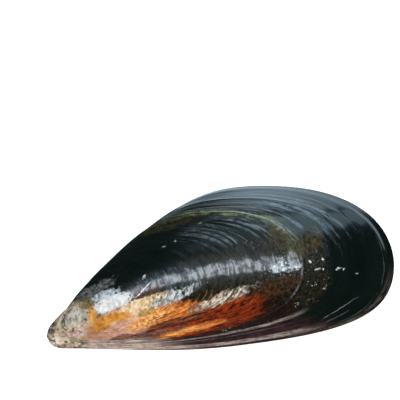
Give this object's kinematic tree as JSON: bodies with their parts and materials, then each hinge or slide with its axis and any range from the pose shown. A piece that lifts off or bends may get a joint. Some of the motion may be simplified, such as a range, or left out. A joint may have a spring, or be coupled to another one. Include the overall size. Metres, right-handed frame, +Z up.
{
  "type": "mussel shell",
  "caption": "Closed mussel shell lying on one side: a pointed beak, a rounded hind end, domed hollow valves with growth ledges, held by a ligament.",
  "frame": {"origin": "the point on the surface it lies on, under the middle of its bounding box", "axes": "+X from the beaks to the hind end along the length, +Y towards the hinge side, +Z up from the right valve it lies on to the left valve"},
  "size_m": [0.0696, 0.0318, 0.0258],
  "materials": {
    "valve_skin": "glossy blue-black horny skin over limy shell, worn to chalk white and orange near the beak",
    "ligament_skin": "satin dark brown"
  },
  "bodies": {
    "root": {"left_valve": "valve_skin", "right_valve": "valve_skin", "ligament": "ligament_skin"}
  },
  "joints": []
}
